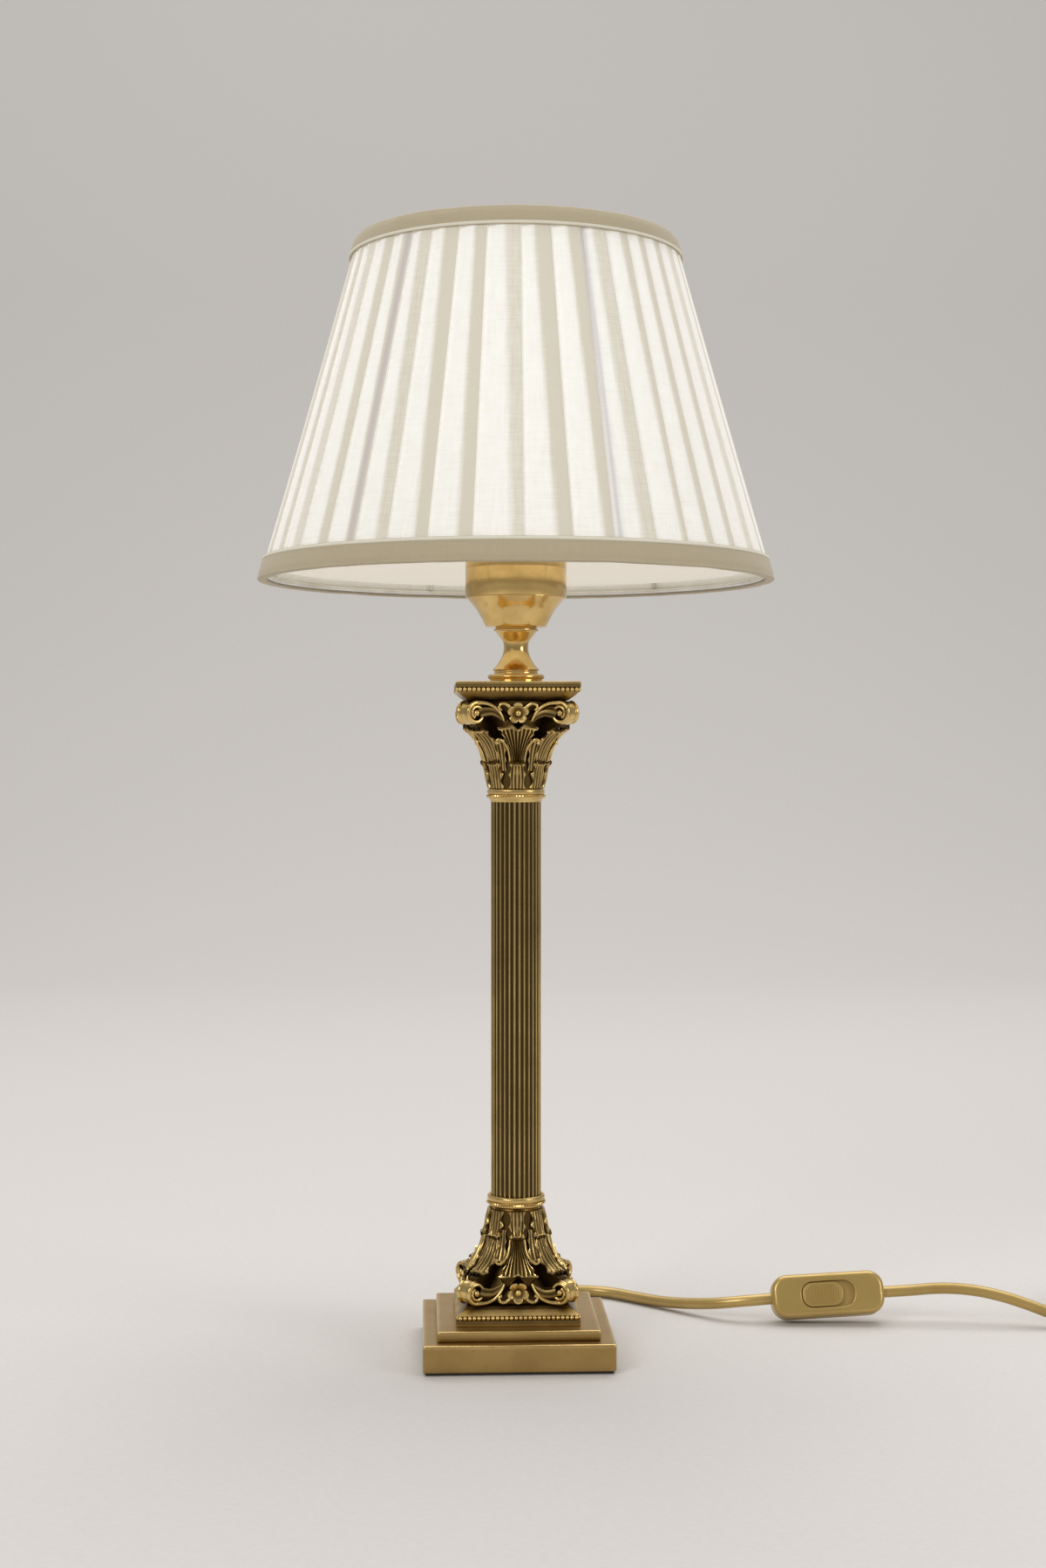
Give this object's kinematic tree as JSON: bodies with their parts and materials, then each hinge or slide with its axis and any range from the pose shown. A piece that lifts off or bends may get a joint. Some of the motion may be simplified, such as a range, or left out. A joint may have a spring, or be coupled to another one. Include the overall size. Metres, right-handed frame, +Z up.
{
  "type": "table lamp",
  "caption": "Column table lamp with classical castings at both ends of a fluted column, stepped square base, pleated empire shade and a lead with an in-line switch.",
  "frame": {"origin": "centre of the underside of the base, on the surface it stands on", "axes": "+Z up along the column, -Y towards the front of the lamp, +X to the side that the lead runs to"},
  "size_m": [0.5491, 0.2726, 0.557],
  "materials": {
    "felt": "matte wool felt",
    "satin_brass": "satin aged brass",
    "cast_brass": "cast, antiqued and rubbed brass",
    "aged_column": "aged fluted brass",
    "polished_brass": "polished brass with light tarnish",
    "iron": "as cast",
    "plated_steel": "zinc plated",
    "contact_brass": "plain",
    "holder_plastic": "moulded, heat resistant",
    "ring_plastic": "moulded, gold coloured",
    "frame_wire": "white lacquered wire",
    "pleated_cloth": "pleated ivory cloth, lets light through",
    "lining_cloth": "smooth white lining",
    "trim_cloth": "ivory bias trim",
    "bulb_glass": "frosted inside",
    "cap_metal": "bright",
    "insulator": "dark fused glass",
    "gold_lead": "gold coloured flexible sheath",
    "gold_switch": "gold coloured moulding",
    "pin_brass": "bright"
  },
  "bodies": {
    "stand": {"base_felt": "felt", "lower_plinth": "satin_brass", "base_weight": "iron", "upper_plinth": "satin_brass", "foot_capital": "cast_brass", "foot_collar": "cast_brass", "fluted_column": "aged_column", "upper_collar": "cast_brass", "upper_capital": "cast_brass", "turned_neck": "polished_brass", "holder_bowl": "polished_brass", "holder_sleeve": "polished_brass", "threaded_tube": "plated_steel", "base_nut": "plated_steel", "base_washer": "plated_steel", "holder_nut": "plated_steel", "lampholder_cap": "holder_plastic", "lampholder_skirt": "holder_plastic", "contact_block": "holder_plastic", "centre_contact": "contact_brass", "terminal_screws": "plated_steel", "thread_shell": "contact_brass", "inner_lead": "gold_lead", "strain_relief": "gold_lead", "cord_to_switch": "gold_lead", "switch_back_shell": "gold_switch", "switch_front_shell": "gold_switch", "switch_screws": "plated_steel", "cord_to_coil": "gold_lead", "cord_coil": "gold_lead", "cord_tail": "gold_lead", "plug_body": "gold_lead", "plug_pins": "pin_brass"},
    "slider": {"switch_slider": "gold_switch"},
    "shade": {"shade_fitter": "frame_wire", "frame_bottom_ring": "frame_wire", "frame_top_ring": "frame_wire", "frame_struts": "frame_wire", "shade_cover": "pleated_cloth", "shade_lining": "lining_cloth", "bottom_trim": "trim_cloth", "top_trim": "trim_cloth"},
    "ring": {"shade_ring": "ring_plastic"},
    "bulb": {"bulb_glass": "bulb_glass", "bulb_cap": "cap_metal", "bulb_insulator": "insulator", "bulb_contact": "contact_brass", "bulb_stem": "bulb_glass"}
  },
  "joints": [
    {"name": "slider_slide", "type": "slide", "parent": "stand", "child": "slider", "axis": [0.9971, -0.0453, 0.061], "range_m": [0, 0.0056]},
    {"name": "shade_turn", "type": "hinge", "parent": "stand", "child": "shade", "pos_m": [0, 0, 0.43], "axis": [0, 0, 1], "continuous": true},
    {"name": "ring_turn", "type": "hinge", "parent": "stand", "child": "ring", "pos_m": [0, 0, 0.435], "axis": [0, 0, 1], "continuous": true},
    {"name": "bulb_turn", "type": "hinge", "parent": "stand", "child": "bulb", "pos_m": [0, 0, 0.43], "axis": [0, 0, 1], "continuous": true}
  ]
}
